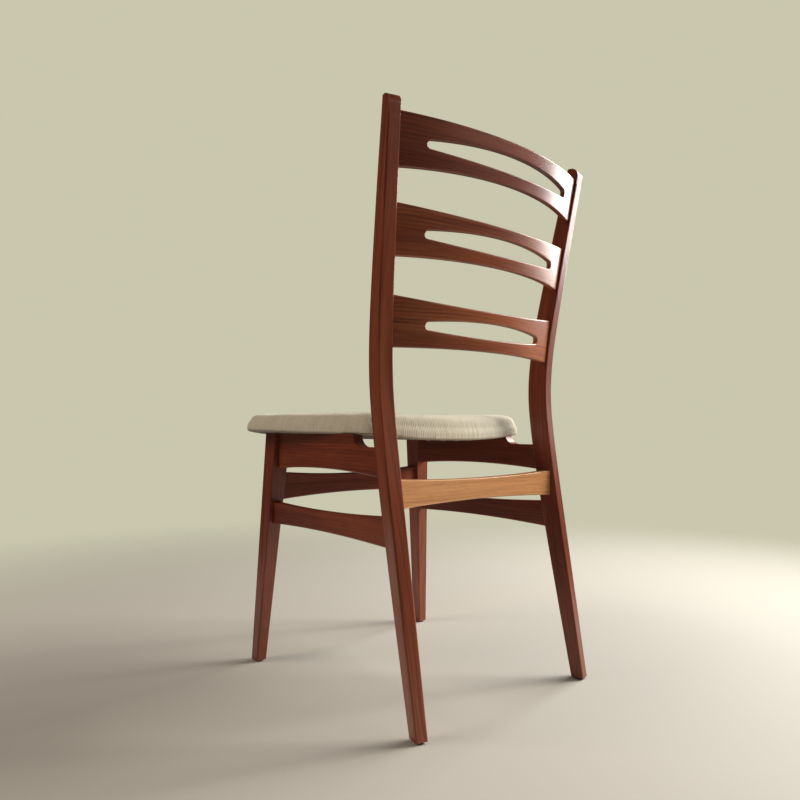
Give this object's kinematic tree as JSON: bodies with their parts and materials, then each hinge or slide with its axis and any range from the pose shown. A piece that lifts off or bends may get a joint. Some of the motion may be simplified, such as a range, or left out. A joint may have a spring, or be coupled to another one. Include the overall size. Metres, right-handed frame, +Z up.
{
  "type": "dining chair",
  "caption": "Mid-century style ladder-back dining chair in oiled teak, with slotted bowed slats, bent rear posts and a seat pad in ribbed off-white cloth.",
  "frame": {"origin": "on the floor, at the middle of the chair's footprint", "axes": "+Z up; +Y to the back of the chair, so the sitter faces -Y; +X to the sitter's left"},
  "size_m": [0.4642, 0.5095, 0.9184],
  "materials": {
    "teak": "oiled, satin",
    "dowel_wood": "raw beech",
    "plywood": "raw",
    "foam": "open cell foam",
    "seat_fabric": "ribbed weave",
    "dust_cloth": "thin non-woven",
    "steel": "zinc plated",
    "glide_plastic": "moulded"
  },
  "bodies": {
    "root": {"rear_leg_left": "teak", "rear_leg_right": "teak", "front_leg_left": "teak", "front_leg_right": "teak", "side_rail_left": "teak", "side_rail_right": "teak", "side_stretcher_left": "teak", "side_stretcher_right": "teak", "rear_stretcher": "teak", "front_rail": "teak", "top_slat": "teak", "middle_slat": "teak", "lower_slat": "teak", "side_rail_dowels": "dowel_wood", "side_stretcher_dowels": "dowel_wood", "rear_stretcher_dowels": "dowel_wood", "front_rail_dowels": "dowel_wood", "seat_board": "plywood", "seat_foam": "foam", "seat_cover": "seat_fabric", "seat_dust_cover": "dust_cloth", "cover_staples": "steel", "seat_screws": "steel", "foot_glides": "glide_plastic"}
  },
  "joints": []
}
